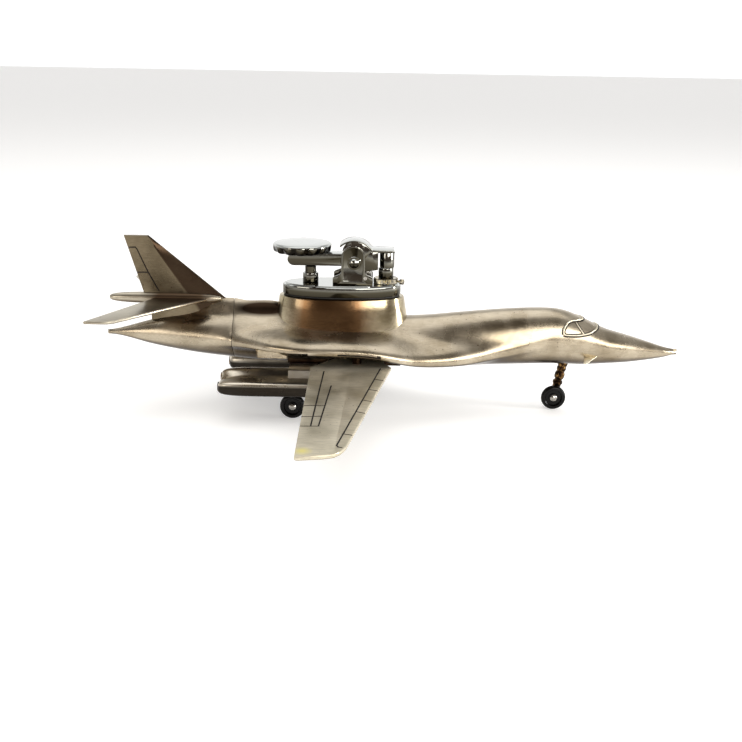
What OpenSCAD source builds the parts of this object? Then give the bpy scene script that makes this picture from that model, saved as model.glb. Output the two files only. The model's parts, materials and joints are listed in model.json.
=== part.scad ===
// Desk lighter in the form of a swing-wing jet.  +X nose, +Z up, -Y the right-hand (starboard) side.
// The origin is on the ground plane, under the middle of the model.  Millimetres.

/* [Airframe] */
// Half of the overall length, nose tip or tail tip to the middle
half_length = 129.4; // [129:0.2:130]
// Wall of the hollow centre body
shell_wall = 2.2; // [1.8:0.1:2.6]
// Half-width of the fixed wing glove
glove_half = 28; // [27:0.5:29]
// Thickness of the vertical fin
fin_t = 2; // [1.6:0.1:2.6]
// Thickness of the tailplane
tailplane_t = 1.4; // [1.2:0.1:2]

/* [Swing wings] */
// Distance of a wing tip from the centre plane
wing_tip_y = 126; // [116:1:130]
// Thickness of a wing
wing_t = 1.6; // [1.4:0.1:2]
// Height of a wing's top face
wing_top_z = 27.9; // [27.8:0.1:28.2]
// Distance of a wing pivot from the centre plane
pivot_y = 22; // [21:0.5:23]
// Place of the wing pivots along the body
pivot_x = -16; // [-17:0.5:-15]
// Radius of a wing pivot's shank
pivot_r = 2; // [1.6:0.1:2.4]

/* [Undercarriage] */
// Radius of every wheel
wheel_r = 5.65; // [5.4:0.05:5.9]
// Width of a wheel
wheel_w = 3; // [2.6:0.1:3.2]
// Radius of the axles
axle_r = 1; // [0.8:0.1:1.2]
// Place of the main wheels along the body
main_x = -44.4; // [-47:0.2:-42]
// Place of the nose wheel along the body
nose_x = 75; // [73:0.5:76]

/* [Lighter insert] */
// Length of the oval deck
deck_len = 52.7; // [51:0.1:53.5]
// Width of the oval deck
deck_w = 22; // [21.5:0.1:22.5]
// Length of the fuel tank
tank_len = 49; // [47:0.2:49.4]
// Width of the fuel tank
tank_w = 18; // [17:0.2:18.4]
// Radius of the plunger rod
rod_r = 2.5; // [2:0.1:2.6]
// Radius of the thumb disc
disc_r = 13; // [12:0.2:13.4]
// Radius of the knurled flame adjuster
adjuster_r = 5.45; // [5.2:0.05:5.5]
// Radius of the lever pivot
lever_pin_r = 1.5; // [1.2:0.1:1.7]

/* [Fits] */
// Radial clearance of a part that turns or slides on another
run_gap = 0.05; // [0.02:0.01:0.1]

/* [Hidden] */
$fn = 48;

NICKEL = [0.62, 0.56, 0.47];
WING_NICKEL = [0.72, 0.68, 0.6];
CHROME = [0.85, 0.85, 0.86];
BRONZE = [0.3, 0.22, 0.15];
BLACK = [0.08, 0.08, 0.08];
BRASS = [0.78, 0.64, 0.34];
STEEL = [0.6, 0.6, 0.6];

// Stations of the body: place, underside, top, half-width, height of the widest line.
BODY = [[-129.4, 33.5, 34.1, 0.3, 33.8], [-121, 31.9, 36.4, 2.7, 33.9], [-111, 29.2, 39.2, 4.8, 33.6],
    [-102, 27.4, 41, 6.6, 33.4], [-88, 25.2, 42.2, 8.7, 33.2], [-75, 23.8, 43.2, 10, 33.2],
    [-62, 22.6, 44, 10.8, 33.6], [-40, 22, 43.6, 11.2, 33.6], [-10, 22, 43, 11.6, 32.6],
    [12, 22.2, 43.6, 12.2, 28.2], [31, 22.1, 45.6, 12, 27.6], [50, 22.4, 47.5, 11.2, 30.6],
    [68, 22.7, 48.3, 10.5, 34.6], [77, 22.8, 47.3, 10.3, 34.6], [86, 22.6, 43.8, 9.9, 33.4],
    [96, 23.2, 39.2, 8.8, 31.6], [105, 23.8, 36.6, 7.3, 30.6], [114, 24.9, 33.9, 5.4, 29.6],
    [123, 26.4, 31, 3.1, 28.8], [129.4, 28.1, 28.9, 0.4, 28.5]];
// Stations of the glove: place, share of its full half-width, height above and below the widest line.
GLOVE = [[-129.4, 0, 1, 1], [-78, 0.3, 3.4, 2.6], [-66, 0.56, 4.8, 3], [-54, 0.84, 5.8, 3.2], [-38, 1, 6.5, 3.4],
    [-10, 1, 6.5, 3.4], [-2, 0.99, 6.9, 3.2], [6, 0.93, 7.2, 3], [14, 0.82, 7.3, 3], [32, 0.58, 6.6, 3],
    [52, 0.36, 4.4, 2.4], [129.4, 0, 1, 1]];
// Stations of the spine ahead of the fin: place, top, half-width.
SPINE = [[-129.4, 33, 0.3], [-100, 40, 0.8], [-88, 45, 1.6], [-78, 49.6, 2.8], [-71.5, 49.8, 3.8],
    [-66, 48.7, 4.2], [-52, 48.3, 4.2], [-42, 43, 3.6], [-30, 36, 2], [129.4, 30, 0.3]];
seam_x = -71.5;
LOBE_BLEND = 4;

deck_x = -23.4;
collar_z = 53;
deck_z = 53.7;
deck_top = 58.6;
tank_z = 35;
socket_z = 33.6;
slot_low = 25.2;
slot_high = 30.4;
step_x = -36.8;
plate_rear = -47;
slot_rear = -61;
slot_front = 4;
web_half = 6;
keel_z = 21.8;
plate_z = 23.2;
plunger_x = -37.3;
burner_x = -3.8;
lever_x = -17.9;
lever_z = 68.4;
spark_x = -12.9;
spark_z = 61.9;
main_y = 17.3;
leg_y = 13;
screw_x = [-42, 0];

// Value of one column of a table of stations at x, on a smooth curve through the stations.
function span_at(t, x, i = 0) = i >= len(t) - 2 || x < t[i + 1][0] ? i : span_at(t, x, i + 1);
function slope(t, i, c) = let(a = max(i - 1, 0), b = min(i + 1, len(t) - 1))
    (t[b][c] - t[a][c]) / (t[b][0] - t[a][0]);
function at(t, x, c) = let(i = span_at(t, x), h = t[i + 1][0] - t[i][0], u = (x - t[i][0]) / h)
    (2 * pow(u, 3) - 3 * u * u + 1) * t[i][c] + (pow(u, 3) - 2 * u * u + u) * h * slope(t, i, c)
    + (3 * u * u - 2 * pow(u, 3)) * t[i + 1][c] + (pow(u, 3) - u * u) * h * slope(t, i + 1, c);

// Radius at an angle of an oval with half-axes a and c; n = 2 is an ellipse, more is squarer.
function oval_r(th, a, c, n) = pow(pow(abs(cos(th)) / a, n) + pow(abs(sin(th)) / c, n), -1 / n);

// Distance of the skin from the widest line of the body at x, in the direction th.
function skin_r(x, th, inset = 0) =
    let(zc = at(BODY, x, 4), up = sin(th) > 0, hw = max(at(BODY, x, 3) - inset, 0.2),
        c = max((up ? at(BODY, x, 2) - zc : zc - at(BODY, x, 1)) - inset, 0.2),
        gw = max(at(GLOVE, x, 1) * glove_half - inset, 0.2),
        gc = max(at(GLOVE, x, up ? 2 : 3) - inset, 0.2),
        sw = max(at(SPINE, x, 2) - inset / 2, 0.2), sc = max(at(SPINE, x, 1) - zc - inset, 0.2))
    pow(pow(oval_r(th, hw, c, 2.1), LOBE_BLEND) + pow(oval_r(th, gw, gc, up ? 2.2 : 3), LOBE_BLEND)
        + (up ? pow(oval_r(th, sw, sc, 2), LOBE_BLEND) : 0), 1 / LOBE_BLEND);
function skin_point(x, th, inset = 0) = let(r = skin_r(x, th, inset))
    [x, r * cos(th), at(BODY, x, 4) + r * sin(th)];

// Closed solid through a list of rings, each a list of the same number of points.
module loft(rings) {
    n = len(rings[0]);
    last = len(rings) - 1;
    sides = [for (i = [0 : last - 1], j = [0 : n - 1], k = [0, 1]) let(a = i * n + j, b = i * n + (j + 1) % n)
        k == 0 ? [a, b, b + n] : [a, b + n, a + n]];
    caps = [[for (j = [n - 1 : -1 : 0]) j], [for (j = [0 : n - 1]) last * n + j]];
    polyhedron([for (r = rings) each r], concat(sides, caps));
}

// Body skin between two places, with rings every step.
module skin(x0, x1, step, sides, inset = 0) {
    count = ceil((x1 - x0) / step);
    loft([for (i = [0 : count]) let(x = x0 + (x1 - x0) * i / count)
        [for (j = [sides - 1 : -1 : 0]) skin_point(x, 360 * j / sides, inset)]]);
}

// Round bar along a route of points that lie in order; u is a direction that the route never takes.
module bar(route, r, sides, u) {
    last = len(route) - 1;
    loft([for (i = [0 : last]) let(d = route[min(i + 1, last)] - route[max(i - 1, 0)],
        t = d / norm(d), a = cross(t, u), p = a / norm(a), q = cross(t, p))
        [for (j = [sides - 1 : -1 : 0]) route[i] + r * (cos(360 * j / sides) * p + sin(360 * j / sides) * q)]]);
}

// Coil spring standing on z0.
module coil(x, z0, z1, radius, wire, turns) {
    per_turn = 10;
    bar([for (i = [0 : turns * per_turn]) let(a = 360 * i / per_turn)
        [x + radius * cos(a), radius * sin(a), z0 + wire + (z1 - z0 - 2 * wire) * i / (turns * per_turn)]],
        wire, 6, [0, 0, 1]);
}

// Flat oval outline of the deck, the tank and the collar.
module oval(length, width, sides = 64) {
    polygon([for (i = [0 : sides - 1]) let(a = 360 * i / sides, r = oval_r(a, length / 2, width / 2, 2.2))
        [deck_x + r * cos(a), r * sin(a)]]);
}
function oval_ring(length, width, z, sides = 64) = [for (i = [sides - 1 : -1 : 0])
    let(a = 360 * i / sides, r = oval_r(a, length / 2, width / 2, 2.2)) [deck_x + r * cos(a), r * sin(a), z]];

// Side outline (x, z) given a width between two places across the model.
module across(y0, y1) {
    translate([0, y1, 0])
        rotate([90, 0, 0])
            linear_extrude(y1 - y0)
                children();
}
module both_sides() {
    children();
    mirror([0, 1, 0]) children();
}
module post(x, y, z0, z1, r) {
    translate([x, y, z0]) cylinder(r = r, h = z1 - z0);
}
module cross_pin(x, z, y0, y1, r) {
    translate([x, y0, z]) rotate([-90, 0, 0]) cylinder(r = r, h = y1 - y0);
}

// ---- airframe ----

// Raised frame strips round the two side windows, laid on the skin.
window_low = [[75.4, 22], [76.5, 20.7], [79.3, 21.7], [82.2, 24.2], [84.6, 28.3], [87, 34.3], [89, 43.6],
    [90.8, 57.3], [91.6, 72], [91.8, 90]];
window_top = [[75.4, 22], [75.2, 29], [75.7, 37], [77.2, 49.3], [79.5, 57], [81.5, 61.7], [84.6, 74], [85, 90]];
window_post = [[81.1, 54.7], [82.6, 42.4], [84.2, 31], [84.8, 28.6]];
module window_strip(path, r) {
    bar([for (p = path) skin_point(p[0], p[1])], r, 8, [0, 1, 0.3]);
}
module nose_vane() {
    loft([for (k = [0, 1]) [[94, 7, 29.8 - 0.5 * k], [85.8, 13, 26.3 - 0.5 * k], [84.6, 12.4, 26.6 - 0.5 * k],
        [86, 7.4, 28.6 - 0.5 * k]]]);
}
strut_y = 4.4;
module strut_line() {
    translate([nose_x + 1.1, strut_y, wheel_r]) rotate([0, 11, 0]) children();
}

// The slot that a wing swings in.  Its roof steps up behind the wing and slopes down at the front.
module wing_slot() {
    across(web_half, 40) polygon([[slot_rear, slot_low - 0.01], [slot_front, slot_low - 0.01], [slot_front, 28.4],
        [-1.5, 28.9], [-8, slot_high], [slot_rear, slot_high]]);
    across(11.5, 40) polygon([[slot_rear, slot_high - 1], [step_x, slot_high - 1], [step_x, 33.3],
        [slot_rear, 32.3]]);
}

module fuselage_shell() {
    color(NICKEL) resize([0, 0, 0]) difference() {
        union() {
            skin(seam_x, half_length, 3.2, 56);
            both_sides() {
                window_strip(window_low, 0.55);
                window_strip(window_top, 0.55);
                window_strip(window_post, 0.45);
                nose_vane();
            }
        }
        difference() {
            skin(seam_x + 4, 104, 6, 32, shell_wall);
            translate([slot_rear - 20, -50, 0]) cube([slot_front + 10 - slot_rear + 20, 100, socket_z]);
            both_sides() translate([slot_rear - 20, 11, 0]) cube([slot_front + 10 - slot_rear + 20, 40, 60]);
        }
        translate([seam_x, 0, 33]) rotate([0, 90, 0]) cylinder(r = 6.2, h = 12, center = true);
        translate([0, 0, socket_z]) linear_extrude(40) oval(tank_len + 1.6, tank_w + 1.4);
        both_sides() wing_slot();
        translate([plate_rear - 0.5, -40, 0]) cube([8 - plate_rear, 80, slot_low]);
        for (x = screw_x) post(x, 0, slot_low - 1, 31, 1.35);
        strut_line() cylinder(r = 2.35, h = 21, $fn = 24);
    }
}

module fin_plate() {
    across(-fin_t / 2, fin_t / 2)
        polygon([[-119.4, 78], [-109.4, 78], [-107.4, 77], [-78.1, 52.6], [seam_x, 49.4], [seam_x, 42], [-86, 37],
            [-107.5, 36], [-109, 38.5], [-109.1, 46], [-112.1, 52.8]]);
}

module tail_cone() {
    color(NICKEL) resize([0, 0, 0]) difference() {
        union() {
            skin(-half_length, seam_x, 3.2, 56);
            translate([seam_x - 0.5, 0, 33]) rotate([0, 90, 0]) cylinder(r = 6, h = 6);
        }
        fin_plate();
    }
}

module fin() {
    color(NICKEL) fin_plate();
}

module tailplane() {
    color(NICKEL) difference() {
        union() {
            both_sides() translate([0, 0, 49.7 - tailplane_t / 2]) linear_extrude(tailplane_t)
                polygon([[-82.5, 0], [-114.5, 43], [-117, 44.4], [-126.6, 44.4], [-108, 4], [-108, 0]]);
            translate([-127.7, 0, 50]) rotate([0, 90, 0]) rotate_extrude() polygon([[0, 0], [0.8, 0.3],
                [1.6, 2.4], [2.2, 7], [2.6, 18], [2.7, 30], [2.3, 42], [1.2, 49.8], [0, 51.2]]);
        }
        fin_plate();
    }
}

module lighter_collar() {
    color(NICKEL) resize([0, 0, 0]) difference() {
        loft([oval_ring(61.6, 31, 34), oval_ring(59.4, 28.6, 41.5), oval_ring(55.8, 25, 52.4),
            oval_ring(55, 24.2, collar_z)]);
        translate([0, 0, 30]) linear_extrude(30) oval(tank_len + 1.6, tank_w + 1.4);
        skin(-64, 18, 2.96, 56);
    }
}

module belly_plate() {
    color(NICKEL) difference() {
        union() {
            translate([0, 0, plate_z]) linear_extrude(slot_low - plate_z) union() {
                translate([plate_rear, -9]) square([7 - plate_rear, 18]);
                translate([-29, -24]) square([25, 48]);
                for (x = [-29, -7], s = [-1, 1]) translate([x, s * 19]) circle(5);
            }
            translate([plate_rear + 0.5, -6.4, keel_z]) cube([3 - plate_rear, 12.8, plate_z - keel_z]);
        }
        for (s = [-1, 1]) post(pivot_x, s * pivot_y, keel_z - 1, slot_low + 1, pivot_r - 0.4);
        for (x = screw_x) {
            post(x, 0, keel_z - 1, slot_low + 1, 1.2);
            post(x, 0, keel_z - 1, plate_z, 2.3);
        }
    }
}

module belly_screws() {
    color(STEEL) for (x = screw_x) difference() {
        union() {
            post(x, 0, keel_z + 0.2, plate_z, 2.2);
            post(x, 0, plate_z - 0.1, 30.8, 1.2);
        }
        translate([x - 3, -0.3, keel_z - 0.4]) cube([6, 0.6, 1]);
    }
}

// Twin engine pod: one casting, flat at the side, that rises inwards and ends in two rounded lobes.
POD = [[27.5, 17.2], [27.2, 18.6], [26, 19.2], [24, 19.4], [21.5, 19.5], [19, 19.6], [17.4, 19.8], [15.8, 20.5],
    [14, 21.2], [12, 21.5], [10, 21.2], [8.4, 20.1], [7.6, 18.5], [7.4, 16.5], [7.8, 14.6], [9, 13.2],
    [11, 12.8], [14, 12.8], [17.4, 12.8], [20, 12.5], [22.5, 12.4], [25, 12.6], [26.7, 13.2], [27.4, 14.3]];
ducts = [[22.3, 15.9], [12.5, 17.1]];
function pod_ring(x, s) = [for (i = [len(POD) - 1 : -1 : 0])
    let(p = POD[i], d = p[0] > 17.4 ? ducts[0] : ducts[1]) [x, each d + s * (p - d)]];
module nacelle() {
    color(NICKEL) resize([0, 0, 0]) difference() {
        union() {
            loft([pod_ring(-76.2, 0.66), pod_ring(-74.5, 0.82), pod_ring(-71, 0.93), pod_ring(-64, 1),
                pod_ring(-30, 1), pod_ring(-16, 1), pod_ring(-10, 0.94)]);
            translate([plate_rear + 1, 9.2, 18]) cube([26, 11, plate_z - 18]);
        }
        post(main_x, leg_y, 5, 14, 1.8);
        for (d = ducts) {
            translate([-77, d[0], d[1]]) rotate([0, 90, 0]) cylinder(r = 1.87, h = 9);
            loft([for (k = [0, 1]) [for (i = [23 : -1 : 0]) let(r = oval_r(15 * i, 2.6 + k, 2 + k, 3))
                [-13 + 4 * k, d[0] + r * cos(15 * i), d[1] + r * sin(15 * i)]]]);
        }
    }
}
module nacelle_left() { nacelle(); }
module nacelle_right() { mirror([0, 1, 0]) nacelle(); }

module exhaust_nozzles() {
    color(BRONZE) both_sides() for (d = ducts) translate([-76.6, d[0], d[1]])
        rotate([0, 90, 0]) rotate_extrude()
            polygon([[1.2, 0], [2.1, 0], [2.1, 0.4], [1.8, 0.4], [1.8, 7], [1.2, 7]]);
}

// ---- swing wings ----

wing_low_z = wing_top_z - wing_t;
module wing_left() {
    color(WING_NICKEL) difference() {
        translate([0, 0, wing_low_z]) linear_extrude(wing_t) union() {
            polygon([[-35.5, 29], [-34.6, wing_tip_y - 0.4], [-33.4, wing_tip_y], [-25, wing_tip_y - 1.6],
                [-21.5, wing_tip_y - 2.8], [-19.6, wing_tip_y - 5], [-18.4, wing_tip_y - 7.6],
                [-17.6, wing_tip_y - 10], [-1.1, 28], [-4.6, 21], [-16, 12], [-27, 20]]);
            translate([pivot_x, pivot_y]) circle(12);
        }
        post(pivot_x, pivot_y, wing_low_z - 1, wing_top_z + 1, pivot_r + run_gap);
    }
}
module wing_right() { mirror([0, 1, 0]) wing_left(); }

module wing_pin_left() {
    color(STEEL) {
        post(pivot_x, pivot_y, plate_z - 0.6, slot_low, pivot_r - 0.4);
        post(pivot_x, pivot_y, slot_low, slot_high, pivot_r);
    }
}
module wing_pin_right() { mirror([0, 1, 0]) wing_pin_left(); }

module wing_washers() {
    color(BRASS) both_sides() difference() {
        post(pivot_x, pivot_y, slot_low, wing_low_z, 5);
        post(pivot_x, pivot_y, slot_low - 1, wing_low_z + 1, pivot_r + run_gap);
    }
}

// ---- undercarriage ----

// Wheel on an axle along Y: a rounded tyre, a recessed disc and a hub boss.
module wheel(x, y, bore) {
    w = wheel_w / 2;
    color(BLACK) translate([x, y, wheel_r]) rotate([-90, 0, 0]) rotate_extrude()
        polygon([[bore, -w + 0.3], [2, -w + 0.3], [2, -0.5], [3.7, -0.5], [3.9, -w], [wheel_r - 0.8, -w],
            [wheel_r - 0.2, -w + 0.5], [wheel_r, -w + 1.1], [wheel_r, w - 1.1], [wheel_r - 0.2, w - 0.5],
            [wheel_r - 0.8, w], [3.9, w], [3.7, 0.5], [2, 0.5], [2, w - 0.3], [bore, w - 0.3]]);
}
// Rivet along Y from y0 to y1 with a domed head past each end that is asked for.
module rivet(x, y0, y1, heads) {
    color(STEEL) {
        cross_pin(x, wheel_r, y0, y1, axle_r);
        for (h = heads) translate([x, h[0], wheel_r]) rotate([-90 * h[1], 0, 0]) rotate_extrude()
            polygon([[0, 0], [1.7, 0], [1.6, 0.4], [1.2, 0.8], [0.6, 1], [0, 1.05]]);
    }
}
nose_y = 0.4;
module nose_wheel() { wheel(nose_x, nose_y, axle_r); }
module nose_axle() {
    y0 = nose_y - wheel_w / 2 + 0.3;
    y1 = strut_y + 2.3;
    rivet(nose_x, y0, y1, [[y1, 1], [y0, -1]]);
}
module main_wheel_left() { wheel(main_x, main_y, axle_r + run_gap); }
module main_wheel_right() { mirror([0, 1, 0]) main_wheel_left(); }
module main_axle_left() {
    e = main_y + wheel_w / 2 - 0.2;
    rivet(main_x, leg_y - 1.9, e, [[e, 1]]);
}
module main_axle_right() { mirror([0, 1, 0]) main_axle_left(); }
module main_leg_left() {
    color(BRONZE) difference() {
        union() {
            post(main_x, leg_y, wheel_r, 14, 1.75);
            cross_pin(main_x, wheel_r, leg_y - 1.8, leg_y + 1.8, 2.4);
        }
        cross_pin(main_x, wheel_r, leg_y - 3, leg_y + 3, axle_r);
    }
}
module main_leg_right() { mirror([0, 1, 0]) main_leg_left(); }

// Turned nose strut with beads and a collar, beside the wheel and leaning back down to the axle.
module nose_strut() {
    color(BRONZE) difference() {
        union() {
            strut_line() rotate_extrude() polygon([[0, -1], [1.6, -0.8], [2, 0.5], [2, 5.6], [2.3, 6], [2.3, 6.8],
                [2, 7.2], [2, 8.4], [2.3, 9.2], [2.3, 11], [2.1, 11.6], [2.1, 14], [2.3, 14.6], [2.3, 20], [0, 20]]);
            cross_pin(nose_x, wheel_r, strut_y - 2.1, strut_y + 2.2, 2.5);
        }
        cross_pin(nose_x, wheel_r, -5, 9, axle_r + run_gap);
    }
}

// ---- lighter insert ----

module deck_plate() {
    color(CHROME) difference() {
        union() {
            translate([0, 0, deck_z]) linear_extrude(4.3) oval(deck_len, deck_w);
            translate([0, 0, deck_z + 4.2]) linear_extrude(deck_top - deck_z - 4.2) oval(deck_len - 2.6, deck_w - 2.6);
        }
        post(plunger_x, 0, deck_z - 1, deck_top + 1, rod_r + run_gap);
        post(spark_x, 0, deck_z - 1, deck_top + 1, 2.2);
        post(burner_x, 0, deck_z - 1, deck_top + 1, 2.4);
    }
}

module deck_gasket() {
    color(BLACK) translate([0, 0, collar_z]) linear_extrude(deck_z - collar_z) difference() {
        oval(deck_len - 1, deck_w - 1);
        oval(tank_len + 0.2, tank_w + 0.2);
    }
}

module fuel_tank() {
    color(BRASS) difference() {
        translate([0, 0, tank_z]) linear_extrude(deck_z - tank_z) oval(tank_len, tank_w);
        difference() {
            translate([0, 0, tank_z + 1]) linear_extrude(deck_z - tank_z - 2) oval(tank_len - 2, tank_w - 2);
            post(plunger_x, 0, 42, deck_z, 4);
            post(spark_x, 0, tank_z, deck_z, 3.2);
            post(burner_x, 0, 43, deck_z, 3.4);
        }
        post(plunger_x, 0, 43.5, deck_z + 1, rod_r + 0.25);
        post(spark_x, 0, tank_z - 1, deck_z + 1, 2.2);
        post(burner_x, 0, 44.5, deck_z + 1, 2.4);
        post(deck_x - 1, 0, tank_z - 1, tank_z + 2, 2.2);
    }
}

module filler_valve() {
    color(BRASS) difference() {
        union() {
            post(deck_x - 1, 0, tank_z - 0.9, tank_z, 3.2);
            post(deck_x - 1, 0, tank_z - 0.1, tank_z + 4.5, 2.2);
        }
        post(deck_x - 1, 0, tank_z - 2, tank_z + 3, 0.7);
    }
}

module flint_tube() {
    color(BRASS) difference() {
        post(spark_x, 0, tank_z, deck_top, 2.2);
        post(spark_x, 0, tank_z - 1, deck_top + 1, 1.35);
    }
}
module flint() { color(STEEL) post(spark_x, 0, 55, spark_z - 2.95, 1.25); }
module flint_spring() { color(STEEL) coil(spark_x, 40, 55, 0.85, 0.25, 9); }
module flint_screw() {
    color(BRASS) difference() {
        union() {
            post(spark_x, 0, tank_z - 0.1, 40, 1.35);
            post(spark_x, 0, tank_z - 1.1, tank_z, 2.8);
        }
        translate([spark_x - 4, -0.4, tank_z - 1.6]) cube([8, 0.8, 1]);
    }
}

module burner_valve() {
    color(BRASS) difference() {
        union() {
            post(burner_x, 0, 44.5, 61.15, 2.4);
            post(burner_x, 0, 61, 64.6, 1.2);
        }
        post(burner_x, 0, 50, 65, 0.35);
    }
}
module burner_guard() {
    color(CHROME) difference() {
        post(burner_x, 0, 61.15, 65.5, 3.35);
        post(burner_x, 0, 61, 66, 1.2);
        post(burner_x, 0, 62, 66, 2.65);
    }
}

module ear_outline() {
    polygon([[-27.2, deck_top], [-9.6, deck_top], [-9.6, 62.2], [-13.1, 63.6], [-13.1, 70.8], [-23.5, 70.8],
        [-23.5, 63.6], [-27.2, 62.2]]);
    translate([-18.3, 70.8]) circle(5.2);
}
module lever_bracket() {
    color(CHROME) difference() {
        union() {
            both_sides() across(6, 7) ear_outline();
            translate([-27.2, -6.5, deck_top]) cube([9.2, 13, 0.8]);
        }
        cross_pin(lever_x, lever_z, -8, 8, lever_pin_r);
        cross_pin(spark_x, spark_z, -8, 8, 0.8);
    }
}
module pivot_screw() {
    color(CHROME) {
        cross_pin(lever_x, lever_z, -7, 8.4, lever_pin_r);
        difference() {
            translate([lever_x, -7, lever_z]) rotate([90, 0, 0]) rotate_extrude()
                polygon([[0, 0], [2.2, 0], [2.1, 0.5], [1.6, 1], [0.9, 1.3], [0, 1.4]]);
            translate([lever_x - 3, -8.6, lever_z - 0.25]) cube([6, 0.9, 0.5]);
        }
    }
}
module pivot_nut() {
    color(CHROME) difference() {
        cross_pin(lever_x, lever_z, 7, 8.2, 2.4, $fn = 6);
        cross_pin(lever_x, lever_z, 6, 9, lever_pin_r);
    }
}
module wheel_axle() {
    color(STEEL) cross_pin(spark_x, spark_z, -7.3, 7.3, 0.8);
}
module plunger_sleeve() {
    color(CHROME) difference() {
        post(plunger_x, 0, deck_top, 62.9, 3.5);
        post(plunger_x, 0, deck_top - 1, 64, rod_r + run_gap);
    }
}
module plunger_spring() { color(STEEL) coil(plunger_x, 43.5, 52.9, 2, 0.3, 7); }

module plunger_rod() {
    color(CHROME) translate([plunger_x, 0, 0]) rotate_extrude()
        polygon([[0, 53], [rod_r, 53], [rod_r, 65.6], [2.2, 65.83], [1.6, 66.12], [0.8, 66.37], [0, 66.45]]);
}

module thumb_lever() {
    color(CHROME) difference() {
        across(-4, 4) union() {
            translate([-44.5, 66.5]) square([44.5 + lever_x, 5.5]);
            translate([-44.5, 69.25]) circle(2.75);
            translate([lever_x, lever_z]) circle(4);
        }
        cross_pin(lever_x, lever_z, -6, 6, lever_pin_r + run_gap);
    }
}
module thumb_disc() {
    color(CHROME) intersection() {
        translate([-40.9, 0, 72]) rotate_extrude()
            polygon([[0, 0], [9.4, 0], [disc_r - 0.6, 1.5], [disc_r, 2.3], [disc_r, 3.5], [disc_r - 0.7, 4.1],
                [9, 4.3], [0, 4.3]]);
        translate([-60, -20, 70]) cube([32.1, 40, 10]);
    }
}

hump_out = 9.8;
hump_in = 9;
hump_end = 132;
module arm_outline() {
    difference() {
        translate([lever_x, lever_z]) circle(hump_out);
        translate([lever_x, lever_z]) circle(hump_in);
        translate([lever_x - 20, lever_z - 20]) square([40, 20]);
        translate([lever_x, lever_z]) rotate(hump_end) square([20, 20]);
        translate([lever_x + 4, lever_z]) square([20, 5.3]);
    }
    polygon([[lever_x + 6.2, lever_z + 6.1], [lever_x + 8, lever_z + 5.6], [-0.6, 74], [-0.1, 73.2],
        [-0.1, 72.9], [lever_x + 6.2, 72.9]]);
}
module snuffer_arm() {
    color(CHROME) difference() {
        union() {
            across(-5.6, 5.6) arm_outline();
            both_sides() across(4.6, 5.6) {
                translate([lever_x, lever_z]) circle(4.6);
                polygon([[lever_x, lever_z - 3.2], [-7.4, 65.4], [-7.4, 73.4], [lever_x + 6.4, 74.2],
                    [lever_x + 2, 77.2], [lever_x, 77.4]]);
            }
        }
        cross_pin(lever_x, lever_z, -8, 8, lever_pin_r + run_gap);
    }
}
module snuffer_cap() {
    color(CHROME) difference() {
        post(-3.4, 0, 65.7, 72.9, 3.25);
        post(-3.4, 0, 65, 71.6, 2.6);
    }
}

module spark_wheel() {
    color(STEEL) difference() {
        across(-2.8, 2.8) translate([spark_x, spark_z]) {
            teeth = 24;
            polygon([for (i = [0 : 2 * teeth - 1]) let(a = 180 * i / teeth, r = i % 2 == 0 ? 2.9 : 2.6)
                [r * cos(a), r * sin(a)]]);
        }
        cross_pin(spark_x, spark_z, -4, 4, 0.8 + run_gap);
    }
}

module adjuster_ring() {
    knurls = 40;
    color(BRASS) difference() {
        translate([burner_x, 0, deck_top + 0.1]) linear_extrude(2.3)
            polygon([for (i = [0 : 2 * knurls - 1]) let(a = 180 * i / knurls, r = adjuster_r - (i % 2) * 0.3)
                [r * cos(a), r * sin(a)]]);
        post(burner_x, 0, deck_top - 1, 62, 2.4 + run_gap);
        translate([burner_x, 0, 59.9]) rotate([0, 90, -29]) translate([0, 0, 4.2]) cylinder(r = 0.55, h = 4);
    }
}
module adjuster_pin() {
    color(BRASS) translate([burner_x, 0, 59.9]) rotate([0, 90, -29]) difference() {
        union() {
            translate([0, 0, 4.2]) cylinder(r = 0.55, h = 3.6);
            translate([0, 0, 7.2]) cylinder(r = 1.2, h = 1.6);
        }
        translate([-2, -0.2, 8.3]) cube([4, 0.4, 1]);
    }
}

fuselage_shell();
tail_cone();
fin();
tailplane();
lighter_collar();
belly_plate();
belly_screws();
nacelle_right();
nacelle_left();
exhaust_nozzles();
nose_strut();
main_leg_right();
main_leg_left();
main_axle_right();
main_axle_left();
wing_pin_right();
wing_pin_left();
wing_washers();
wing_right();
wing_left();
nose_axle();
nose_wheel();
main_wheel_right();
main_wheel_left();
deck_plate();
deck_gasket();
lever_bracket();
plunger_sleeve();
plunger_spring();
fuel_tank();
filler_valve();
flint_tube();
flint();
flint_spring();
flint_screw();
burner_valve();
burner_guard();
pivot_screw();
pivot_nut();
wheel_axle();
thumb_lever();
thumb_disc();
snuffer_arm();
snuffer_cap();
plunger_rod();
spark_wheel();
adjuster_ring();
adjuster_pin();
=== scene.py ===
# %% [markdown]
# A desk lighter in the form of a swing-wing jet
#
# The airframe is cast metal, taken to be zinc with a brushed, antiqued nickel plate.  A chrome lift-arm
# lighter drops into an oval collar on its back.  This lesson models the visible pieces around the imported frame, gives each a
# finish, and sets a pale studio round them.  Lengths are written in millimetres and multiplied by MM.

# %% Load the frame and keep its parts
import json
import math

import bmesh
import bpy
from mathutils import Matrix, Vector


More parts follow.
